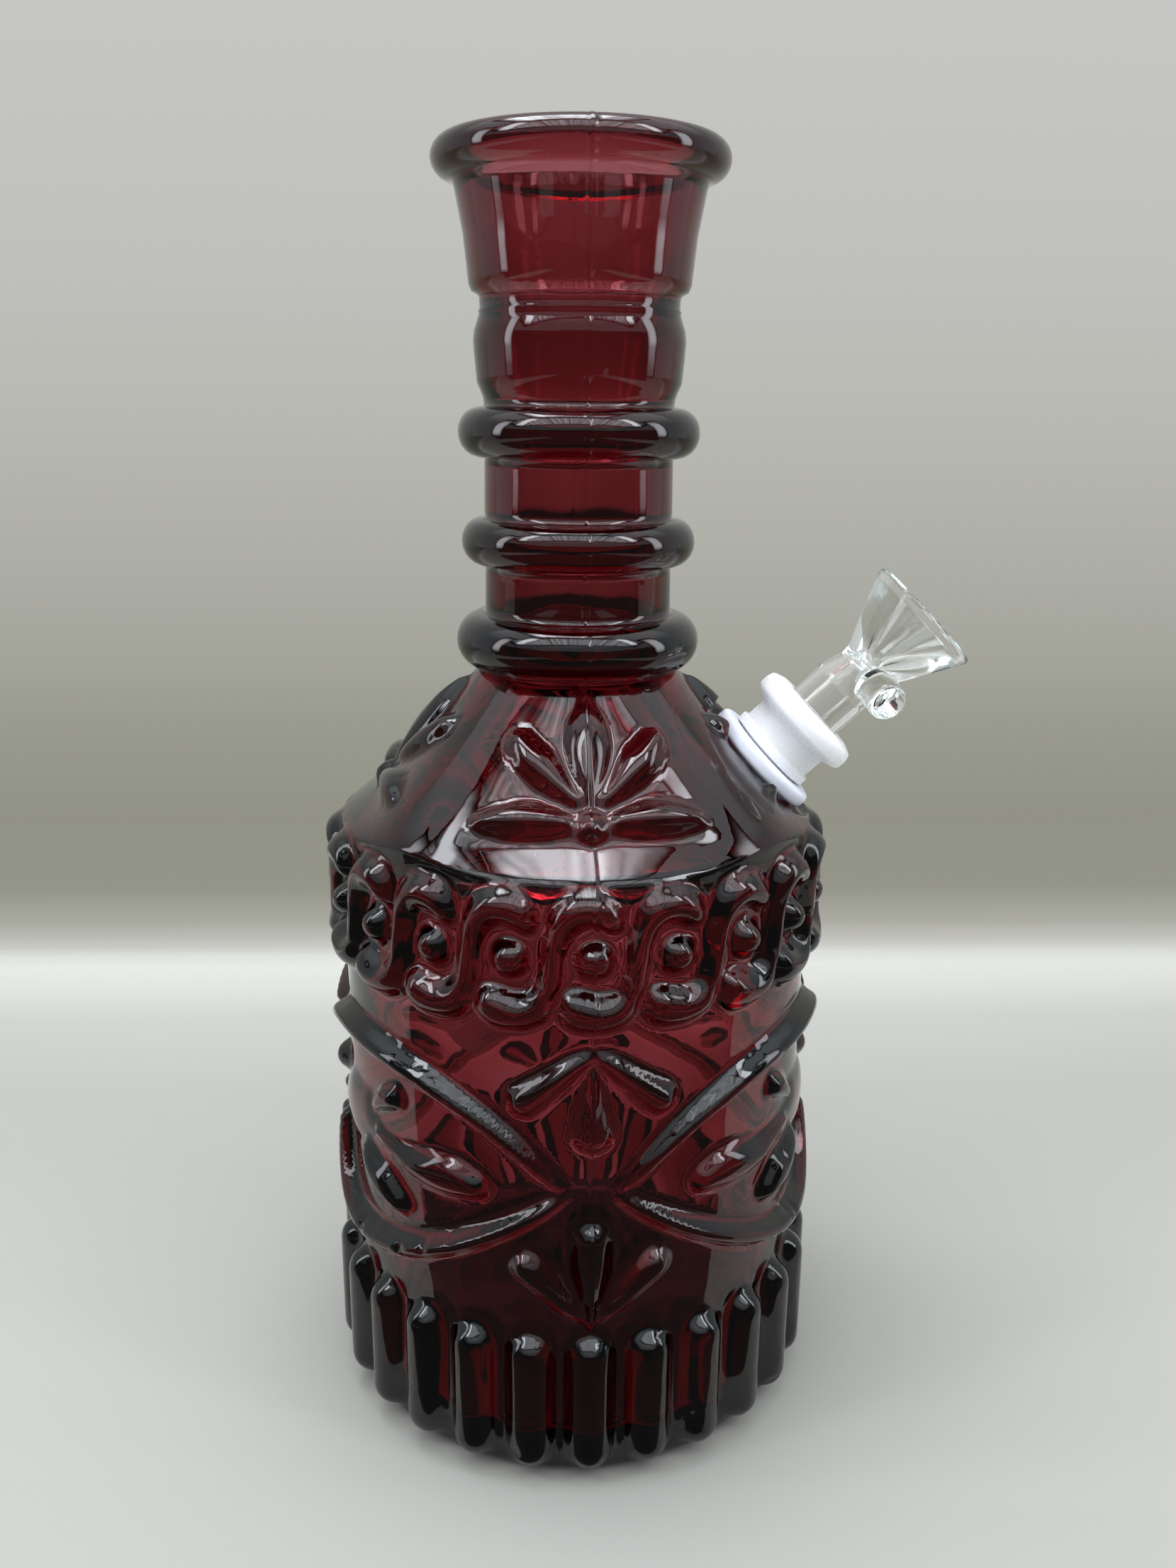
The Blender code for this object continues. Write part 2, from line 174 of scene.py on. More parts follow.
def lampGlass():
    # clear borosilicate tube, worked in a flame on a lathe: crisp, colourless, with faint drawn streaks
    material, tree, output, place = newMaterial("clearBorosilicateGlass")
    streaks = noise(tree, place, 260.0, 1.0)
    shader = addNode(tree, "ShaderNodeBsdfPrincipled", values={
        "Base Color": (1.0, 1.0, 1.0, 1.0), "Roughness": 0.0, "IOR": 1.47, "Transmission Weight": 1.0,
    }, links={"Normal": bumped(tree, streaks, 0.08, 0.0003)})
    tint = addNode(tree, "ShaderNodeVolumeAbsorption", values={
        "Color": (0.86, 0.95, 0.92, 1.0), "Density": 22.0})
    tree.links.new(shader.outputs[0], output.inputs["Surface"])
    tree.links.new(tint.outputs[0], output.inputs["Volume"])
    return material


def mouldedSilicone(name, light, dark, roughness, subsurface):
    # moulded silicone rubber: soft satin sheen, slightly cloudy inside
    material, tree, output, place = newMaterial(name)
    cloud = noise(tree, place, 180.0, 3.0, 0.6)
    colour = addNode(tree, "ShaderNodeMix", {"data_type": "RGBA"}, {
        6: hexColour(dark), 7: hexColour(light)}, {0: cloud})      # sockets 6 and 7 are its two colours
    gloss = mapped(tree, noise(tree, place, 1500.0, 2.0), 0.3, 0.7, roughness - 0.03, roughness + 0.04)
    shader = addNode(tree, "ShaderNodeBsdfPrincipled", values={
        "IOR": 1.41, "Subsurface Weight": subsurface,
        "Subsurface Radius": (1.0, 1.0, 1.1), "Subsurface Scale": 0.003,
    }, links={
        "Base Color": colour.outputs[2], "Roughness": gloss, "Normal": bumped(tree, cloud, 0.04, 0.0003)})
    tree.links.new(shader.outputs[0], output.inputs["Surface"])
    return material


glassRed = pressedGlass()
glassClear = lampGlass()
siliconeWhite = mouldedSilicone("whiteMouldedSilicone", "F3F5FF", "E4E9FB", 0.34, 0.25)
siliconeFrost = mouldedSilicone("milkyMouldedSilicone", "FDFDFF", "F3F4F8", 0.28, 0.45)
print("materials made")


# bottle: the plain blown shape, before its pattern is pressed in; lengths in mm

bottle = {
    "bodyRadius": 53.5, "bodyTop": 138.0, "ledgeRadius": 45.6, "ledgeFoot": 138.9, "ledgeTop": 144.5,
    "shoulderTop": 172.0, "neckFootRadius": 22.2, "neckRadius": 20.3,
    "lipRing": 26.6, "lipHeight": 276.1, "lipThick": 4.0, "innerRadius": 49.7, "neckBore": 16.0,
    "cornerSwell": 0.13, "innerWave": 0.3, "seamHeight": 0.42, "seamFrom": 38.0,
    "ribs": 26, "scrolls": 20, "columns": 368, "soften": 1,
}
collars = ((178.5, 26.8, 6.0), (200.0, 25.4, 5.0), (222.8, 25.9, 5.3))    # height, radius, half thickness
footZone, wallZone, ledgeZone, shoulderZone, neckZone, insideZone = range(6)


def spaced(points, step):
    # rows no further apart than step along a profile, its corners kept
    points = [np.array(p, float) for p in points]
    made = [points[0]]
    for a, b in zip(points, points[1:]):
        parts = max(1, math.ceil(np.linalg.norm(b - a) / step))
        made += [a + (b - a) * k / parts for k in range(1, parts + 1)]
    return made


def outerNeck():
    plain = bottle["neckRadius"]
    line = [(bottle["neckFootRadius"], bottle["shoulderTop"])]
    for height, radius, half in collars:
        for turn in np.linspace(math.pi, 0, 13):
            swell = (radius - plain) * abs(math.sin(turn)) ** 0.85
            line.append((plain + swell, height + half * math.cos(turn)))
        line.append((plain + 0.1, height + half + 1.6))
    line += [(20.9, 231.0), (21.7, 232.8), (22.1, 237.0), (22.4, 241.0), (22.2, 243.2), (21.6, 245.0),
             (21.1, 246.4), (21.3, 246.9), (21.0, 247.4), (21.0, 249.6), (21.3, 250.2), (22.6, 250.9),
             (23.2, 252.2), (23.7, 257.0), (24.2, 261.8), (25.1, 266.6), (26.1, 271.8)]
    return line


def bottleRows():
    # (radius, height, columns, zone) from the middle of the underside, up outside and down inside
    full, body, wall = bottle["columns"], bottle["bodyRadius"], bottle["innerRadius"]
    ledge, top = bottle["ledgeRadius"], bottle["ledgeTop"]
    rows = [(0.0, 1.4, 1, footZone)]

    def add(points, columns, zone):
        rows.extend((radius, height, columns, zone) for radius, height in points)

    add([(14, 1.4), (30, 1.3)], full // 4, footZone)
    add([(42, 1.0), (46.5, 0.3)], full // 2, footZone)
    add(spaced([(49.2, 0.0), (50.9, 0.3), (52.3, 1.4), (53.2, 3.0), (body, 5.0)], 0.95), full, wallZone)
    stretches = ((5, 9, 0.9), (9, 31, 2.5), (31, 38, 0.85), (38, 106, 0.95), (106, bottle["bodyTop"], 0.76))
    for low, high, step in stretches:      # rows stand close where figures start and end
        add(spaced([(body, low), (body, high)], step)[1:], full, wallZone)
    add([(body - 0.15, bottle["ledgeFoot"]), (52.8, 139.7)], full, ledgeZone)
    add(spaced([(52.1, 140.25), (ledge + 0.5, top - 0.35)], 1.0), full, ledgeZone)
    add(spaced([(ledge - 0.2, top + 0.2), (23.0, 171.1)], 1.05), full, shoulderZone)
    add(spaced(outerNeck(), 2.0), full // 2, neckZone)
    middle, level, thick = bottle["lipRing"], bottle["lipHeight"], bottle["lipThick"]
    turns = np.radians(np.arange(-75, 181, 17))
    add([(middle + thick * math.cos(t), level + thick * math.sin(t)) for t in turns], full // 2, neckZone)
    inside = [(22.2, 275.0), (21.4, 270.0), (19.8, 262.0), (18.5, 254.0), (17.2, 248.5), (16.6, 244.0),
              (16.2, 232.0), (bottle["neckBore"], 200.0), (bottle["neckBore"], 176.0), (16.8, 172.6),
              (19.4, 169.8), (40.0, 143.2), (45.0, 138.6), (49.0, 134.0), (wall, 130.0), (wall, 17.0),
              (49.0, 13.0), (46.5, 9.6), (42.0, 7.9), (30.0, 8.3), (15.0, 8.8)]
    add(spaced(smoothLine(inside, 3), 6.0), full // 4, insideZone)
    rows.append((0.0, 9.0, 1, insideZone))
    return rows


def quarterTurn(angle):
    # angle from the nearest palmette, which stand at every quarter turn from the seam
    return (angle + math.pi / 4) % (math.pi / 2) - math.pi / 4


shoulderFoot = Vector((bottle["ledgeRadius"], bottle["ledgeTop"]))
shoulderRise = Vector((bottle["neckFootRadius"], bottle["shoulderTop"])) - shoulderFoot
shoulderSlope = shoulderRise.length / shoulderRise.y
shoulderOut = Vector((shoulderRise.y, -shoulderRise.x)).normalized()
palmetteRow = 400.0                  # where the shoulder's part of the flat plan starts


def planPoint(angle, height, zone):
    # flat plan: the body unrolled at its own radius, the shoulder folded onto one quarter
    if zone == shoulderZone:
        above = height - shoulderFoot.y
        radius = shoulderFoot.x + shoulderRise.x * above / shoulderRise.y
        return (quarterTurn(angle) * radius, palmetteRow + above * shoulderSlope)
    return (angle * bottle["bodyRadius"], height)


def cornered(radius, angle, height, zone):
    # ledge and shoulder swell between the palmettes, into four soft corners
    corner = ((1 - math.cos(4 * angle)) / 2) ** 1.6
    top = bottle["ledgeTop"]
    if zone == ledgeZone:
        share = (height - bottle["ledgeFoot"]) / (top - bottle["ledgeFoot"])
        fade = max(0.0, min(1.0, share)) ** 0.8
    else:
        fade = 1 - max(0.0, (height - top) / (171.1 - top)) ** 2.0
    return min(radius * (1 + bottle["cornerSwell"] * corner * fade), bottle["bodyRadius"] - 0.1)


def blownWave(angle, height):
    # the blown inside is never quite even, and less uneven in the neck
    size = bottle["innerWave"] * (0.35 if height > 168 else 1.0)
    return size * (math.sin(5 * angle + height / 9) + math.sin(8 * angle - height / 7) + math.sin(height / 5))


def columnAngle(k, count):
    angle = 2 * math.pi * k / count
    if angle > math.pi:
        angle -= 2 * math.pi
    for seam in (0.0, math.pi):      # columns crowd up to the two mould seams
        away = (angle - seam + math.pi) % (2 * math.pi) - math.pi
        angle -= away * 0.55 * math.exp(-(math.degrees(away) / 3.0) ** 2)
    return angle


def joinRings(rings):
    # faces between rings of as many, twice as many, half as many, or one point
    faces = []
    for a, b in zip(rings, rings[1:]):
        m, n = len(a), len(b)
        if m == 1:
            faces += [(a[0], b[(k + 1) % n], b[k]) for k in range(n)]
        elif n == 1:
            faces += [(a[k], a[(k + 1) % m], b[0]) for k in range(m)]
        elif m == n:
            faces += [(a[k], a[(k + 1) % m], b[(k + 1) % m], b[k]) for k in range(m)]
        elif n == 2 * m:
            for k in range(m):
                faces += [(a[k], b[2 * k + 1], b[2 * k]), (a[k], a[(k + 1) % m], b[2 * k + 1]),
                          (a[(k + 1) % m], b[(2 * k + 2) % n], b[2 * k + 1])]
        else:
            for k in range(n):
                faces += [(a[2 * k], a[2 * k + 1], b[k]), (a[2 * k + 1], b[(k + 1) % n], b[k]),
                          (a[2 * k + 1], a[(2 * k + 2) % m], b[(k + 1) % n])]
    return faces


def blankBottle():
    points, plan, out, rings = [], [], [], []
    for radius, height, count, zone in bottleRows():
        rings.append(list(range(len(points), len(points) + count)))
        for k in range(count):
            angle = columnAngle(k, count) if count > 1 else 0.0
            r = radius
            if zone in (ledgeZone, shoulderZone):
                r = cornered(radius, angle, height, zone)
            if zone == insideZone and 15 < height < 260:
                r += blownWave(angle, height)
            onSeam = count > 1 and k % (count // 2) == 0
            if onSeam and zone not in (footZone, insideZone) and height > bottle["seamFrom"]:
                r += bottle["seamHeight"] * (1.3 if zone == neckZone else 1.0)
            turn = seamAngle + angle
            points.append((r * math.cos(turn) * mm, r * math.sin(turn) * mm, height * mm))
            flat, push = (0, -900), Vector((0, 0))         # off the plan, so nothing is pressed there
            if zone in (wallZone, ledgeZone, shoulderZone):
                flat = planPoint(angle, height, zone)
                push = shoulderOut if zone == shoulderZone else Vector((1, 0))
            plan.append((flat[0] * mm, flat[1] * mm, 0))
            out.append((push.x * math.cos(turn), push.x * math.sin(turn), push.y))
    thing = meshObject("bottleShape", points, joinRings(rings), glassRed)
    for name, vectors in (("flatPlace", plan), ("outward", out)):
        layer = thing.data.attributes.new(name, "FLOAT_VECTOR", "POINT")
        layer.data.foreach_set("vector", np.array(vectors, np.float32).ravel())
    return thing


# bottle: the figures of its pattern, drawn flat as (degrees from their middle, height in mm)

def figure(outline, rise, dome, crest=0.0):
    return {"outline": np.asarray(outline, float), "rise": rise, "dome": dome, "crest": crest}


def ring(width, tall, height):
    turns = np.linspace(0, 2 * math.pi, 25)[:-1]
    return [(width * math.cos(t), height + tall * math.sin(t)) for t in turns]


def stroke(line, rise, dome=None, crest=0.0, zone=wallZone):
    # line: rows of (degrees, height, half width in mm), swept into one round-ended outline
    rows = smoothLine(line, 5)
    flat = np.array([planPoint(math.radians(a), h, zone) for a, h, _ in rows])
    wide = rows[:, 2]
    along = np.gradient(flat, axis=0)
    along /= np.linalg.norm(along, axis=1)[:, None]
    side = np.stack([-along[:, 1], along[:, 0]], 1)
    left = flat + side * wide[:, None]
    right = flat - side * wide[:, None]
    turns = np.linspace(0, math.pi, 9)[1:-1]
    ends = [[flat[at] + wide[at] * (across * math.cos(t) + onward * math.sin(t)) for t in turns]
            for at, onward, across in ((-1, along[-1], side[-1]), (0, -along[0], -side[0]))]
    outline = np.concatenate([left, ends[0], right[::-1], ends[1]])
    return figure(outline, rise, dome or float(wide.max()), crest)


def mirrored(shape):
    outline = shape["outline"] * [-1, 1]
    return {**shape, "outline": outline[::-1]}


def moved(shape, degrees):
    return {**shape, "outline": shape["outline"] + [math.radians(degrees) * bottle["bodyRadius"], 0]}


def planMesh(name, shapes):
    points, faces = [], []
    for shape in shapes:
        start = len(points)
        points += [(x * mm, y * mm, 0) for x, y in shape["outline"]]
        faces.append(tuple(range(start, len(points))))
    thing = meshObject(name, points, faces, smooth=False)
    for key in ("rise", "dome", "crest"):
        layer = thing.data.attributes.new(key, "FLOAT", "FACE")
        scale = 1.0 if key == "crest" else mm
        layer.data.foreach_set("value", [shape[key] * scale for shape in shapes])
    thing.hide_render = True
    return thing


def frontFigures():
    # the two three-petalled ornaments that stand on the mould seam
    low = stroke([(2.6, 42.0, 1.0), (6.0, 45.5, 2.1), (10.5, 50.5, 3.2), (14.4, 53.8, 3.6)], 3.6)
    high = stroke([(1.2, 102.9, 1.2), (5.0, 100.6, 2.0), (10.0, 96.6, 2.9), (14.8, 92.9, 3.6)], 3.6)
    shapes = [low, mirrored(low), high, mirrored(high)]
    shapes.append(stroke([(0, 40.6, 1.2), (0, 46, 2.6), (0, 54, 3.7), (0, 60.5, 4.0)], 3.6))
    shapes.append(stroke([(0, 99.5, 0.9), (0, 94, 1.9), (0, 88.5, 3.3), (0, 85.2, 4.0)], 3.2))
    return shapes


def eyeFigures():
    # one half of a side panel, from its front corner to the middle of the side
    upper = [(6.4, 72.4, 0.7), (10.5, 76.6, 1.5), (16, 81.6, 2.0), (24, 87.2, 2.3), (34, 91.8, 2.7),
             (44, 94.5, 2.8), (54, 95.8, 2.9), (64, 96.4, 2.9), (72, 95.9, 2.9), (79, 94.2, 2.8),
             (85, 91.6, 2.7), (90, 88.4, 2.2)]
    lower = [(6.4, 70.9, 0.7), (10, 68.4, 1.4), (16, 64.6, 1.9), (24, 60.0, 2.2), (34, 55.0, 2.5),
             (44, 51.0, 2.7), (54, 48.1, 2.8), (64, 46.9, 2.8), (72, 47.6, 2.8), (79, 50.8, 2.8),
             (84, 56.0, 2.6), (87, 61.5, 2.1), (89.2, 67.0, 1.1)]
    fish = [(26.6, 71.3, 3.4), (31, 71.9, 4.6), (37, 71.8, 4.5), (43, 71.7, 3.2), (49, 72.6, 1.8),
            (57.5, 73.6, 1.3)]
    fin = [(48.6, 60.0, 3.0), (53.5, 62.0, 4.3), (59, 64.4, 3.2), (64, 67.2, 1.3)]
    drop = [(50, 84.8, 2.7), (53.5, 83.2, 2.6), (58, 79.6, 1.3)]
    mound = [(64, 76.0, 5.5), (73, 73.5, 8.0), (82, 72.0, 5.5)]
    return [stroke(upper, 4.2, 3.0), stroke(lower, 4.2, 2.9), stroke(fish, 3.6, 4.6), stroke(fin, 3.6, 4.3),
            stroke(drop, 2.8, 2.8), stroke(mound, 1.5, 8.0)]


def sideFigures():
    return [figure(ring(4.1, 4.1, 77.6), 3.8, 4.1), stroke([(0, 66.0, 2.0), (0, 70.5, 2.4)], 2.4)]


def palmetteFigures():
    # five petals over a small boss, each petal with a crest along its middle
    level = [(5.6, 148.2, 1.8), (11, 148.5, 3.1), (17.5, 148.7, 3.7), (24, 148.4, 3.0), (29.5, 148.0, 1.2)]
    slanting = [(3.5, 151.6, 1.0), (9.0, 154.2, 2.5), (17, 158.0, 3.9), (24.5, 161.4, 3.1)]
    tall = [(0, 151.0, 1.2), (0, 156, 3.2), (0, 161, 4.5), (0, 165, 3.9), (0, 168.4, 1.6)]
    paired = (stroke(level, 3.2, 3.7, 0.35, shoulderZone), stroke(slanting, 3.1, 3.9, 0.6, shoulderZone))
    petals = [side for petal in paired for side in (petal, mirrored(petal))]
    petals.append(stroke(tall, 3.2, 4.5, 0.6, shoulderZone))
    return [figure(ring(3.74, 3.5, palmetteRow + 4.4), 2.8, 3.2)] + petals


def scrollFigure():
    # a hook under one bead, a slanted stem, and a lobe over the next bead
    outline = [(4.6, 117.6), (5.6, 119.6), (6.2, 123), (6.7, 127), (7.4, 131), (8.6, 134.2),
               (10.6, 136.7), (13.6, 138.4), (17.0, 138.8), (20.4, 137.9), (22.9, 135.8), (24.3, 133.2),
               (24.2, 130.8), (22.9, 129.4), (20.6, 129.6), (18.0, 130.8), (15.4, 130.9), (13.5, 129.4),
               (12.5, 126.6), (12.0, 123), (11.2, 118), (9.8, 113.8), (7.6, 110.6), (4.2, 108.9),
               (0, 108.3), (-3.8, 108.8), (-6.7, 110.6), (-8.2, 113.4), (-7.9, 116.0), (-6.2, 117.5),
               (-3.4, 117.9), (-0.6, 117.2), (2.2, 116.6)]
    curve = smoothLine(outline, 4, closed=True)
    curve[:, 0] = np.radians(curve[:, 0]) * bottle["bodyRadius"]
    return [figure(curve, 4.3, 5.4), figure(ring(4.0, 4.0, 123.9), 3.9, 4.0)]


def ribFigure():
    return [stroke([(0, 8.3, 5.2), (0, 20, 5.2), (0, 31.6, 5.2)], 4.5, 5.2)]


# bottle: the node tree that presses the flat figures into the wall

def pressTree():
    tree = bpy.data.node_groups.new("pressPattern", "GeometryNodeTree")
    tree.is_modifier = True
    wanted = {"Geometry": "Geometry", "Single Figures": "Object", "Scroll": "Object", "Scroll Count": "Int",
              "Rib": "Object", "Rib Count": "Int", "Wall Radius": "Float", "Relief": "Float", "Soften": "Int",
              "Glass": "Material"}
    for name, kind in wanted.items():
        tree.interface.new_socket(name=name, in_out="INPUT", socket_type="NodeSocket" + kind)
    tree.interface.new_socket(name="Geometry", in_out="OUTPUT", socket_type="NodeSocketGeometry")
    inputs = addNode(tree, "NodeGroupInput").outputs

    def aroundWall(plan, count):
        # copies of one flat figure, a pitch apart, with one spare beyond each end of the plan
        pitch = maths(tree, "DIVIDE", maths(tree, "MULTIPLY", inputs["Wall Radius"], 2 * math.pi), count)
        before = maths(tree, "ADD", maths(tree, "MULTIPLY", count, 0.5), 1.0)
        start = maths(tree, "MULTIPLY", before, maths(tree, "MULTIPLY", pitch, -1.0))
        places = addNode(tree, "GeometryNodeMeshLine", {"mode": "OFFSET"}, {}, {
            "Count": maths(tree, "ADD", count, 3.0),
            "Start Location": addNode(tree, "ShaderNodeCombineXYZ", links={0: start}).outputs[0],
            "Offset": addNode(tree, "ShaderNodeCombineXYZ", links={0: pitch}).outputs[0]})
        one = addNode(tree, "GeometryNodeObjectInfo", links={"Object": plan}).outputs["Geometry"]
        copies = addNode(tree, "GeometryNodeInstanceOnPoints", links={
            "Points": places.outputs[0], "Instance": one})
        return addNode(tree, "GeometryNodeRealizeInstances", links={0: copies.outputs[0]}).outputs[0]

    single = addNode(tree, "GeometryNodeObjectInfo", links={"Object": inputs["Single Figures"]})
    joined = addNode(tree, "GeometryNodeJoinGeometry")
    for part in (single.outputs["Geometry"], aroundWall(inputs["Scroll"], inputs["Scroll Count"]),
                 aroundWall(inputs["Rib"], inputs["Rib Count"])):
        tree.links.new(part, joined.inputs[0])
    figures = joined.outputs[0]

    def named(name, kind):
        node = addNode(tree, "GeometryNodeInputNamedAttribute", {"data_type": kind}, {"Name": name})
        return node.outputs[0]

    flat = named("flatPlace", "FLOAT_VECTOR")

    def distance(element):
        return addNode(tree, "GeometryNodeProximity", {"target_element": element}, {}, {
            "Geometry": figures, "Sample Position": flat}).outputs["Distance"]

    def sampled(name):
        return addNode(tree, "GeometryNodeSampleNearestSurface", {"data_type": "FLOAT"}, {}, {
            "Mesh": figures, "Value": named(name, "FLOAT"), "Sample Position": flat}).outputs["Value"]

    inside = maths(tree, "LESS_THAN", distance("FACES"), 0.000001)
    dome = maths(tree, "MAXIMUM", sampled("dome"), 0.0001)
    depth = maths(tree, "DIVIDE", distance("EDGES"), dome, clamp=True)
    pillow = maths(tree, "SINE", maths(tree, "MULTIPLY", maths(tree, "POWER", depth, 0.65), math.pi / 2))
    roof = maths(tree, "ADD", maths(tree, "MULTIPLY", depth, 0.72), 0.28)      # a straight-sided petal
    crest = sampled("crest")
    rounder = maths(tree, "MULTIPLY", pillow, maths(tree, "SUBTRACT", 1.0, crest))
    shape = maths(tree, "ADD", rounder, maths(tree, "MULTIPLY", roof, crest))
    height = maths(tree, "MULTIPLY", maths(tree, "MULTIPLY", shape, sampled("rise")),
                   maths(tree, "MULTIPLY", inside, inputs["Relief"]))
    blurred = addNode(tree, "GeometryNodeBlurAttribute", {"data_type": "FLOAT"}, {}, {
        "Value": height, "Iterations": inputs["Soften"]}).outputs[0]
    push = addNode(tree, "ShaderNodeVectorMath", {"operation": "SCALE"}, {}, {
        0: named("outward", "FLOAT_VECTOR"), "Scale": blurred}).outputs[0]
    pressed = addNode(tree, "GeometryNodeSetPosition", links={
        "Geometry": inputs["Geometry"], "Offset": push}).outputs[0]
    real = addNode(tree, "GeometryNodeRealizeInstances", links={0: pressed}).outputs[0]
    glassed = addNode(tree, "GeometryNodeSetMaterial", links={"Geometry": real, "Material": inputs["Glass"]})
    addNode(tree, "NodeGroupOutput", links={0: glassed.outputs[0]})
    return tree


def setInput(modifier, name, value):
    for item in modifier.node_group.interface.items_tree:
        if item.item_type == "SOCKET" and item.in_out == "INPUT" and item.name == name:
            modifier[item.identifier] = value


# everything on the downstem's axis is drawn along +Z and then laid on it

stemOrigin = Vector((0.0404, 0.0, 0.149737))      # on the shoulder, metres
stemRises = 44.0                                  # degrees above level
stemFrame = Matrix.Translation(stemOrigin) @ Matrix.Rotation(math.radians(90 - stemRises), 4, "Y")


def turnedMesh(name, outline, steps=96, material=None, onStem=True):
    # closed outline of (radius, height) in mm, spun about the axis
    rings, points = [], []
    for radius, height in outline:
        count = 1 if radius < 1e-6 else steps
        rings.append([len(points) + k for k in range(count)])
        for k in range(count):
            turn = 2 * math.pi * k / count
            points.append((radius * math.cos(turn) * mm, radius * math.sin(turn) * mm, height * mm))
    if len(rings[0]) > 1:                # a tube closes on itself, a solid ends in two poles
        rings.append(rings[0])
    thing = meshObject(name, points, joinRings(rings), material)
    faceOut(thing)
    if onStem:
        thing.data.transform(stemFrame)
    return thing


def boolean(thing, other, operation):
    step = thing.modifiers.new("boolean", "BOOLEAN")
    step.operation = operation
    step.solver = "EXACT"
    step.object = other
    other.hide_render = True
    return step


# the drilled hole, along the downstem's axis from where that leaves the shoulder; lengths in mm
drilling = {"radius": 11.5, "foot": -15.2, "top": 12.0, "lipRadius": 13.1, "lipFoot": -16.0, "lipTop": -5.9,
            "clearedRadius": 16.8, "clearedFoot": 0.6, "clearedTop": 13.0}    # relief away under the flange


def plug(radius, foot, top):
    return turnedMesh("cut", [(0, foot), (radius, foot), (radius, top), (0, top)])


def singleFigures():
    # all that doesn't repeat at a short pitch: front and back ornaments, side panels, palmettes
    front = frontFigures()
    back = [moved(shape, turn) for shape in front for turn in (180, -180)]
    halfEye = eyeFigures()
    eyes = halfEye + [mirrored(shape) for shape in halfEye]
    behind = [moved(mirrored(shape), 180) for shape in eyes]
    wrapped = [moved(shape, -360) for shape in behind]
    sides = [moved(shape, turn) for shape in sideFigures() for turn in (90, -90, 270, -270)]
    return front + back + eyes + behind + wrapped + sides + palmetteFigures()


def makeBottle():
    blank = faceOut(blankBottle())
    plans = {"Single Figures": planMesh("singleFigures", singleFigures()),
             "Scroll": planMesh("scrollPlan", scrollFigure()), "Rib": planMesh("ribPlan", ribFigure())}
    press = blank.modifiers.new("press", "NODES")
    press.node_group = pressTree()
    for name, value in {**plans, "Scroll Count": bottle["scrolls"], "Rib Count": bottle["ribs"],
                        "Wall Radius": bottle["bodyRadius"] * mm, "Relief": 1.0, "Soften": bottle["soften"],
                        "Glass": glassRed}.items():
        setInput(press, name, value)
    bakeModifiers(blank)
    print("pattern pressed")
    hole = drilling
    cutters = [plug(hole["clearedRadius"], hole["clearedFoot"], hole["clearedTop"]),
               plug(hole["radius"], hole["foot"], hole["top"]),
               plug(hole["lipRadius"], hole["lipFoot"], hole["lipTop"])]
    for cutter in cutters:
        boolean(blank, cutter, "DIFFERENCE")
    bakeModifiers(blank)
    for thing in cutters + list(plans.values()):
        bpy.data.objects.remove(thing, do_unlink=True)
    blank.name = "amethystBottle"
    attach(blank, "bottle")
    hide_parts("bottle")


def rounded(outline, size, steps):
    # the corners of a closed outline of (radius, height) rounded off
    made = []
    count = len(outline)
    for i in range(count):
        a, b, c = (np.array(outline[(i + k) % count], float) for k in (-1, 0, 1))
        if b[0] < 1e-6:
            made.append(tuple(b))
            continue
        before, after = np.linalg.norm(a - b), np.linalg.norm(c - b)
        reach = min(size, 0.45 * before, 0.45 * after)
        p, q = b + (a - b) / before * reach, b + (c - b) / after * reach
        for k in range(steps + 1):
            t = k / steps
            made.append(tuple((1 - t) ** 2 * p + 2 * t * (1 - t) * b + t * t * q))
    return made


grommet = {"bore": 9.1, "neck": 11.2, "flange": 13.9, "flangeFoot": 0.9, "flangeTop": 4.5,
           "lip": 12.8, "lipTop": -6.2, "lipFoot": -8.4}


def makeGrommet():
    g = grommet
    outline = [(g["bore"], g["lipFoot"]), (g["bore"], g["flangeTop"]), (g["flange"], g["flangeTop"]),
               (g["flange"], g["flangeFoot"]), (g["neck"], g["flangeFoot"]), (g["neck"], g["lipTop"]),
               (g["lip"], g["lipTop"]), (g["lip"] - 0.6, g["lipFoot"])]
    thing = turnedMesh("siliconeGrommet", rounded(outline, 1.5, 5), 128, siliconeWhite)
    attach(thing, "grommet")
    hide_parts("grommet")


stem = {"seat": 4.8, "collar": 10.4, "collarTop": 6.9, "head": 9.5,
        "capFoot": 12.1, "capTop": 18.5, "cap": 13.1, "socket": 7.3, "socketFloor": -0.5,
        "stem": 8.8, "neckEnd": -12.2, "tube": 7.2, "bore": 5.0, "tip": -95.2,
        "slits": 6, "slitLong": 15.0, "slitWide": 1.2, "slitMargin": 6.0}


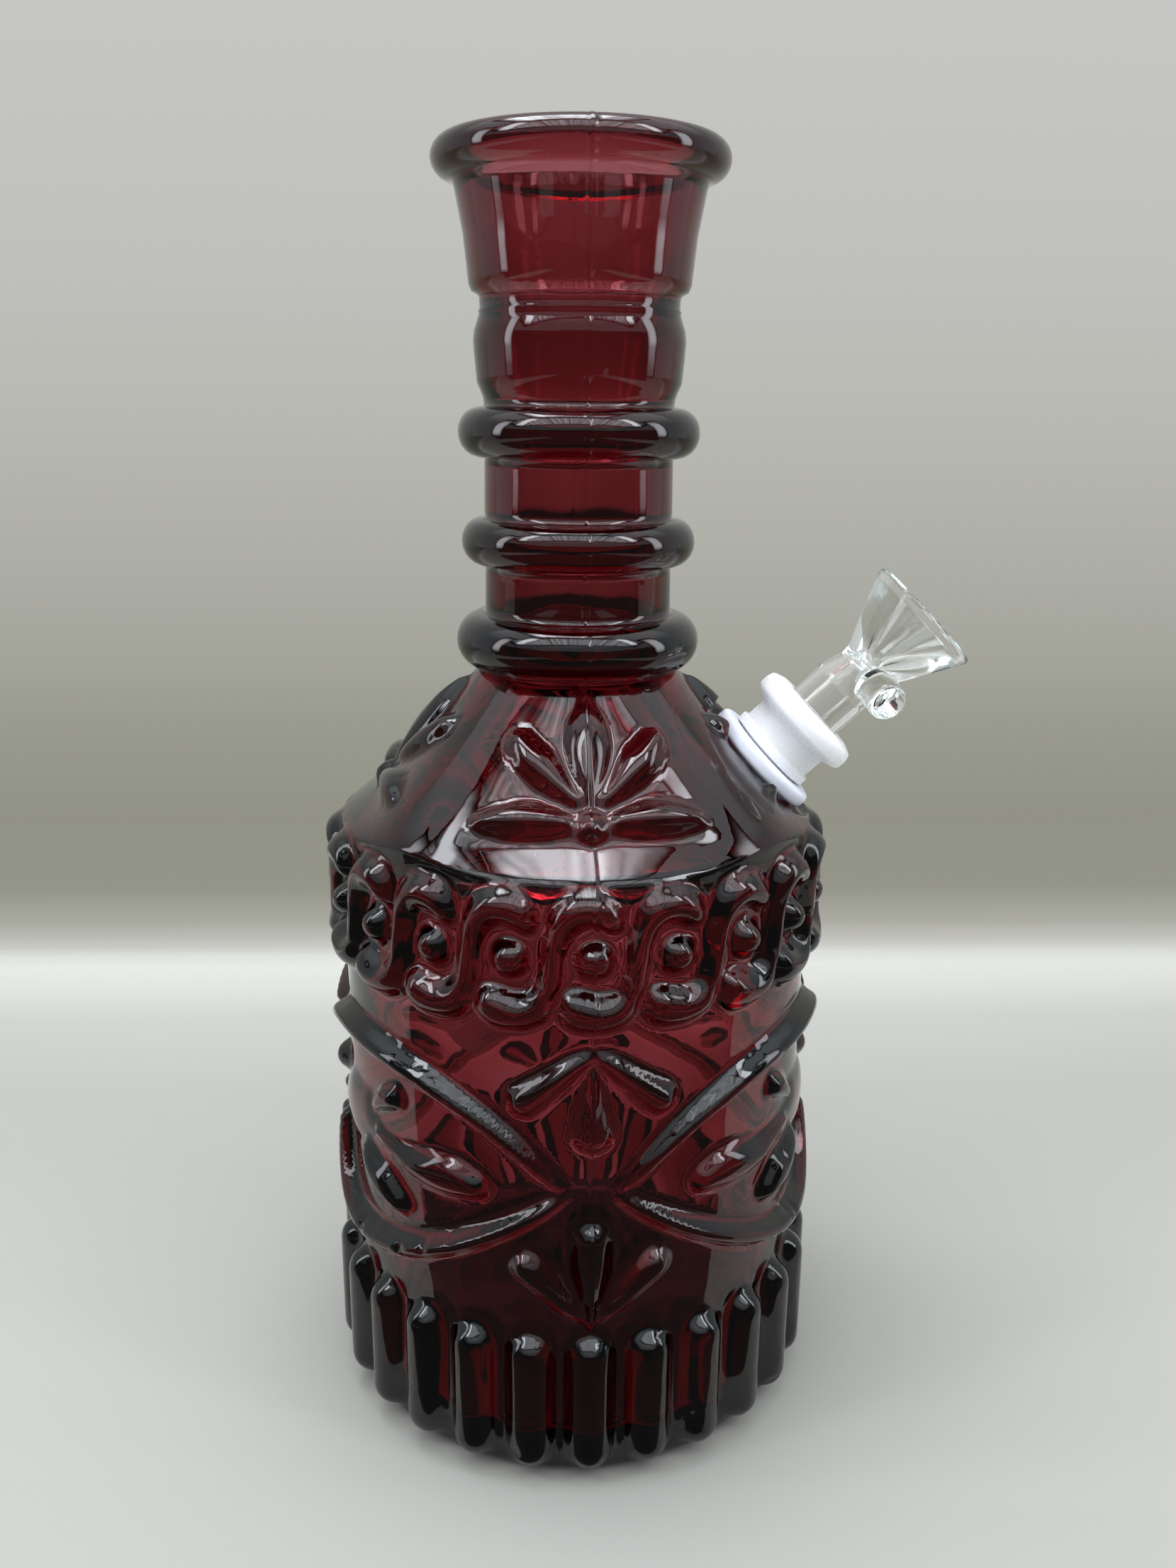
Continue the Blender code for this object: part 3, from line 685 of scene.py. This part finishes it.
def makeDownstem():
    s = stem
    bore = [(s["bore"], s["tip"]), (s["bore"], s["socketFloor"] - 1.5), (s["socket"], s["socketFloor"]),
            (s["socket"], s["capTop"])]
    cap = [(s["cap"] - 3.0, s["capTop"]), (s["cap"] - 0.5, s["capTop"] - 1.0), (s["cap"], s["capTop"] - 2.4),
           (s["cap"], s["capFoot"] + 1.8), (s["cap"] - 0.7, s["capFoot"] + 1.0)]
    below = [(s["head"], s["capFoot"]), (s["head"], s["collarTop"]), (s["collar"], s["collarTop"]),
             (s["collar"], s["seat"]), (s["stem"], s["seat"]), (s["stem"], s["neckEnd"]),
             (s["tube"], s["neckEnd"] - 4.0), (s["tube"], s["tip"])]
    thing = turnedMesh("siliconeDownstem", rounded(bore + cap + below, 0.55, 3), material=siliconeFrost)
    shape = bmesh.new()
    size = Matrix.Diagonal((4 * s["tube"] * mm, s["slitWide"] * mm, s["slitLong"] * mm, 1))
    place = Matrix.Translation((0, 0, (s["tip"] + s["slitMargin"] + s["slitLong"] / 2) * mm))
    for k in range(s["slits"] // 2):      # each box cuts two slits, one on either side
        turn = Matrix.Rotation(2 * math.pi * k / s["slits"], 4, "Z")
        bmesh.ops.create_cube(shape, size=1, matrix=stemFrame @ turn @ place @ size)
    mesh = bpy.data.meshes.new("slitCuts")
    shape.to_mesh(mesh)
    shape.free()
    slits = bpy.data.objects.new("slitCuts", mesh)
    bpy.context.scene.collection.objects.link(slits)
    boolean(thing, slits, "DIFFERENCE").use_self = True      # the boxes cross on the axis
    bakeModifiers(thing)
    bpy.data.objects.remove(slits, do_unlink=True)
    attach(thing, "downstem")
    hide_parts("downstem")


bowl = {"foot": -0.2, "joint": 7.0, "jointWall": 1.3, "jointTop": 28.3, "waist": 6.3, "waistTop": 35.1,
        "mouth": 50.8, "mouthRadius": 13.9, "drawHole": 2.4,
        "handle": 4.3, "handleFrom": 4.6, "handleReach": 15.2, "handleAt": 31.8, "handleTurn": -23.0}


def makeBowl():
    b = bowl
    joint, waist, mouth, hole = b["joint"], b["waist"], b["mouthRadius"], b["drawHole"]
    outside = [(joint - b["jointWall"], b["foot"]), (joint, b["foot"]), (joint, b["jointTop"] - 1.2),
               (waist + 0.25, b["jointTop"] + 0.8), (waist - 0.5, b["jointTop"] + 3.2),
               (waist - 0.1, b["waistTop"] - 1.2), (waist + 0.9, b["waistTop"] + 0.6),
               (mouth - 0.3, b["mouth"] - 2.0)]
    rim = [(mouth + 0.25, b["mouth"] - 0.9), (mouth - 0.3, b["mouth"]), (mouth - 1.4, b["mouth"] - 0.5)]
    inside = [(mouth - 1.9, b["mouth"] - 2.2), (hole + 1.0, b["waistTop"] + 3.0), (hole, b["waistTop"] + 1.6),
              (hole, b["waistTop"] + 0.4), (waist - 2.2, b["waistTop"] - 2.2),
              (waist - 1.8, b["jointTop"] + 2.0), (joint - b["jointWall"], b["jointTop"] - 2.4)]
    body = turnedMesh("clearSlideBowl", rounded(outside + rim + inside, 0.6, 4), 128, glassClear)
    rod, start, end = b["handle"], b["handleFrom"], b["handleReach"]
    bar = [(0, start), (rod - 0.5, start), (rod - 0.4, 6.5), (rod - 0.1, 9.0), (rod, 11.0), (rod, end - 1.0),
           (rod - 0.5, end), (rod - 1.8, end - 0.15), (0, end - 0.55)]
    handle = turnedMesh("rod", rounded(bar, 0.8, 4), 64, glassClear, onStem=False)
    spin = Matrix.Rotation(math.radians(-90 - b["handleTurn"]), 4, "Z") @ Matrix.Rotation(math.pi / 2, 4, "Y")
    handle.data.transform(stemFrame @ Matrix.Translation((0, 0, b["handleAt"] * mm)) @ spin)
    boolean(body, handle, "UNION")
    bakeModifiers(body)
    bpy.data.objects.remove(handle, do_unlink=True)
    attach(body, "bowl")
    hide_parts("slide_bowl")


makeBottle()
makeGrommet()
makeDownstem()
makeBowl()
print("pieces made")


# studio: pale floor, grey sweep behind, soft boxes above and at the sides

# metres, radiances, and shades as greys or colours at a depth or a height: the floor's paper tone with a
# painted brighter band, and the painted glow of sweep and wall
studio = {
    "floorHalf": 1.6, "wallAt": 0.856, "wallSlant": 0.063, "wallTop": 1.6, "paintedFrom": 0.241,
    # floor: even paper tone in front, then a painted brighter band near the back
    "floorPaperAndPaintedBand": ((-0.6, 0.392), (-0.04, 0.392), (0.12, 0.375), (0.176, 0.41),
                    (0.205, 0.49), (0.225, 0.525), (0.2415, 0.45)),
    # sweep: painted glow
    "sweepPaintedGlow": ((0.241, "D0D0CB"), (0.2554, "BEBEB7"), (0.2726, "ABABA2"), (0.3184, "949489"),
                    (0.4347, "929286"), (0.7085, "9C9C92"), (0.856, "A2A299")),
    # wall: painted glow, lighter higher up
    "wallPaintedGlow": ((0.0, "A2A299"), (0.091, "ADADA5"), (0.229, "BABAB4"), (0.36, "C1C1BE"), (0.517, "C6C6C4"),
                   (1.456, "CFCFCD")),
    "roof": 1.5, "sides": 0.66, "front": 0.10,
    "overhead": 13.0, "forward": 3.4, "aside": 12.0, "windows": 5.5,
}


def shadeRamp(tree, value, shades):
    # colours along one measured value, in metres
    first, last = shades[0][0], shades[-1][0]
    ramp = addNode(tree, "ShaderNodeValToRGB", links={0: mapped(tree, value, first, last)})
    steps = ramp.color_ramp
    while len(steps.elements) < len(shades):
        steps.elements.new(0.5)
    for step, (at, shade) in zip(steps.elements, shades):
        step.position = (at - first) / (last - first)
        isGrey = not isinstance(shade, str)
        step.color = (shade, shade * 0.985, shade * 0.90, 1.0) if isGrey else hexColour(shade)
    return ramp.outputs[0]


def shadeBackdrop():
    # glowing paper with painted shade, darker low down and lighter higher up, so that the wall keeps its
    # shade whatever stands in front
    material, tree, output, place = newMaterial("glowingBackdropPaintedShade")
    height = addNode(tree, "ShaderNodeSeparateXYZ", links={0: place}).outputs[2]
    glow = addNode(tree, "ShaderNodeEmission", values={"Strength": 1.0}, links={
        0: shadeRamp(tree, height, studio["wallPaintedGlow"])})
    tree.links.new(glow.outputs[0], output.inputs["Surface"])
    return material


def shadeFloor():
    # pale paper in front, with a painted brighter band near its back edge, running back into the grey sweep,
    # which glows with painted shade
    material, tree, output, place = newMaterial("palePaperAndPaintedSweep")
    split = addNode(tree, "ShaderNodeSeparateXYZ", links={0: place})
    slant = maths(tree, "MULTIPLY", split.outputs[0], studio["wallSlant"])
    deep = maths(tree, "SUBTRACT", split.outputs[1], slant)
    front = shadeRamp(tree, deep, studio["floorPaperAndPaintedBand"])
    paper = addNode(tree, "ShaderNodeBsdfPrincipled", values={
        "Roughness": 0.7, "Specular IOR Level": 0.2}, links={"Base Color": front})
    sweep = addNode(tree, "ShaderNodeEmission", values={"Strength": 1.0}, links={
        0: shadeRamp(tree, deep, studio["sweepPaintedGlow"])})
    edge = studio["paintedFrom"]
    beyond = mapped(tree, deep, edge - 0.004, edge + 0.004)
    both = addNode(tree, "ShaderNodeMixShader", links={0: beyond, 1: paper.outputs[0], 2: sweep.outputs[0]})
    tree.links.new(both.outputs[0], output.inputs["Surface"])
    return material


def softPanel(name, place, target, width, height, radiance, soft, slats=0.0):
    # a glowing sheet that fades towards its edges, so that the glass shows it without a hard outline
    material, tree, output, where = newMaterial(name)
    split = addNode(tree, "ShaderNodeSeparateXYZ", links={0: where})
    fades = []
    for axis, reach in ((0, width / 2), (1, height / 2)):
        away = maths(tree, "ABSOLUTE", split.outputs[axis])
        fades.append(mapped(tree, away, reach, reach * (1 - soft), smooth=True))
    glowing = maths(tree, "MULTIPLY", *fades)
    if slats:                        # brighter and darker strips, as a slatted ceiling gives
        across = addNode(tree, "ShaderNodeCombineXYZ", links={0: split.outputs[0]}).outputs[0]
        strips = mapped(tree, noise(tree, across, slats, 2.0, 0.6), 0.38, 0.62, 0.35, 1.5)
        glowing = maths(tree, "MULTIPLY", glowing, strips)
    glow = addNode(tree, "ShaderNodeEmission", values={"Color": hexColour("F4F8FF")}, links={
        "Strength": maths(tree, "MULTIPLY", glowing, radiance)})
    tree.links.new(glow.outputs[0], output.inputs["Surface"])
    x, y = width / 2, height / 2
    corners = [(-x, -y, 0), (x, -y, 0), (x, y, 0), (-x, y, 0)]
    thing = meshObject(name, corners, [(0, 3, 2, 1)], material, smooth=False)
    thing.location = place
    thing.rotation_euler = (Vector(target) - Vector(place)).to_track_quat("-Z", "Y").to_euler()
    thing.visible_camera = False
    thing.visible_shadow = False


def makeRoom():
    # the air round the stage: pale at the sides, brighter towards the ceiling
    world = bpy.data.worlds.new("softRoom")
    bpy.context.scene.world = world
    world.use_nodes = True
    tree = world.node_tree
    way = addNode(tree, "ShaderNodeTexCoord").outputs["Generated"]
    up = addNode(tree, "ShaderNodeSeparateXYZ", links={0: way}).outputs[2]
    back = tree.nodes["Background"]
    back.inputs[0].default_value = hexColour("E9F2F8")
    tree.links.new(mapped(tree, up, 0.45, 0.80, studio["sides"], studio["roof"], smooth=True), back.inputs[1])


def darkCard(name, corners):
    # a dim glowing sheet that only mirror reflections show: painted shade standing for the dark room and the
    # shaded floor in front, so that glass has dark to set its edges against
    material, tree, output, _ = newMaterial(name)
    dimGlow = addNode(tree, "ShaderNodeEmission", values={
        "Color": hexColour("F4F4F4"), "Strength": studio["front"]})
    tree.links.new(dimGlow.outputs[0], output.inputs["Surface"])
    card = meshObject(name, corners, [(0, 1, 2, 3)], material, smooth=False)
    for way in ("camera", "diffuse", "transmission", "volume_scatter", "shadow"):
        setattr(card, "visible_" + way, False)


def hangCards():
    # one lies before the bottle, one stands far in front and one on each side of it, metres
    half, foot, lift = 0.45, -0.058, 0.0015
    side, far, near, low, high = 0.75, -1.2, -0.12, 0.42, 0.62
    darkCard("darkTable", [(-half, foot, lift), (-half, far, lift), (half, far, lift), (half, foot, lift)])
    darkCard("darkFront", [(-side, far, 0), (side, far, 0), (side, far, high), (-side, far, high)])
    darkCard("darkLeft", [(-side, far, 0), (-side, far, high), (-side, near, low), (-side, near, 0)])
    darkCard("darkRight", [(side, far, 0), (side, near, 0), (side, near, low), (side, far, high)])


def makeStudio():
    half, back, top = studio["floorHalf"], studio["wallAt"], studio["wallTop"]
    lean = studio["wallSlant"] * half
    farLeft, farRight = (-half, back - lean), (half, back + lean)
    ground = [(-half, -half, 0), (half, -half, 0), (*farRight, 0), (*farLeft, 0)]
    upright = [(*farLeft, 0), (*farRight, 0), (*farRight, top), (*farLeft, top)]
    floor = meshObject("floorPaper", ground, [(0, 1, 2, 3)], shadeFloor(), smooth=False)
    wall = meshObject("backPaper", upright, [(0, 3, 2, 1)], shadeBackdrop(), smooth=False)
    makeRoom()
    hangCards()
    aim, aside, windows = (0.0, 0.0, 0.18), studio["aside"], studio["windows"]
    overhead, forward = studio["overhead"], studio["forward"]
    softPanel("lampOverhead", (-0.06, 0.02, 0.80), (-0.06, 0.0, 0.0), 0.56, 0.36, overhead, 0.55, 9.0)
    softPanel("lampForward", (0.0, -0.42, 0.86), (0.0, -0.05, 0.16), 2.2, 0.5, forward, 0.5, 20.0)
    softPanel("lampLeft", (-0.50, -0.30, 0.76), aim, 0.14, 0.5, aside, 0.5)
    softPanel("lampRight", (0.50, -0.26, 0.76), aim, 0.12, 0.5, aside, 0.5)
    softPanel("windowRight", (0.60, -0.06, 0.40), aim, 0.16, 0.62, windows, 0.6)
    softPanel("windowLeft", (-0.60, -0.12, 0.40), aim, 0.14, 0.62, windows, 0.6)


# degrees and metres: where the camera stands, and how far it turns down, aside and over
view = {"lens": 30.476, "pitch": 16.12, "yaw": 0.52, "roll": -0.57, "round": 1.89,
        "place": (0, -0.2938, 0.2294)}


def makeCamera():
    camera = bpy.data.cameras.new("camera")
    camera.lens, camera.sensor_width = view["lens"], 36.0
    thing = bpy.data.objects.new("camera", camera)
    bpy.context.scene.collection.objects.link(thing)
    pitch, yaw, roll = (math.radians(view[key]) for key in ("pitch", "yaw", "roll"))
    right = Vector((math.cos(yaw), -math.sin(yaw), 0))
    forward = Vector((math.sin(yaw) * math.cos(pitch), math.cos(yaw) * math.cos(pitch), -math.sin(pitch)))
    up = right.cross(forward)
    side = math.cos(roll) * right - math.sin(roll) * up
    top = math.sin(roll) * right + math.cos(roll) * up
    turn = Matrix((side, top, -forward)).transposed().to_4x4()
    walk = Matrix.Rotation(math.radians(view["round"]), 4, "Z")      # about the bottle
    thing.matrix_world = walk @ Matrix.Translation(view["place"]) @ turn
    bpy.context.scene.camera = thing


makeStudio()
makeCamera()
scene = bpy.context.scene
scene.view_settings.view_transform = "Standard"
scene.cycles.max_bounces = 24
scene.cycles.transmission_bounces = 20
scene.cycles.glossy_bounces = 16
scene.cycles.transparent_max_bounces = 8
scene.cycles.caustics_reflective = False
print("studio made")
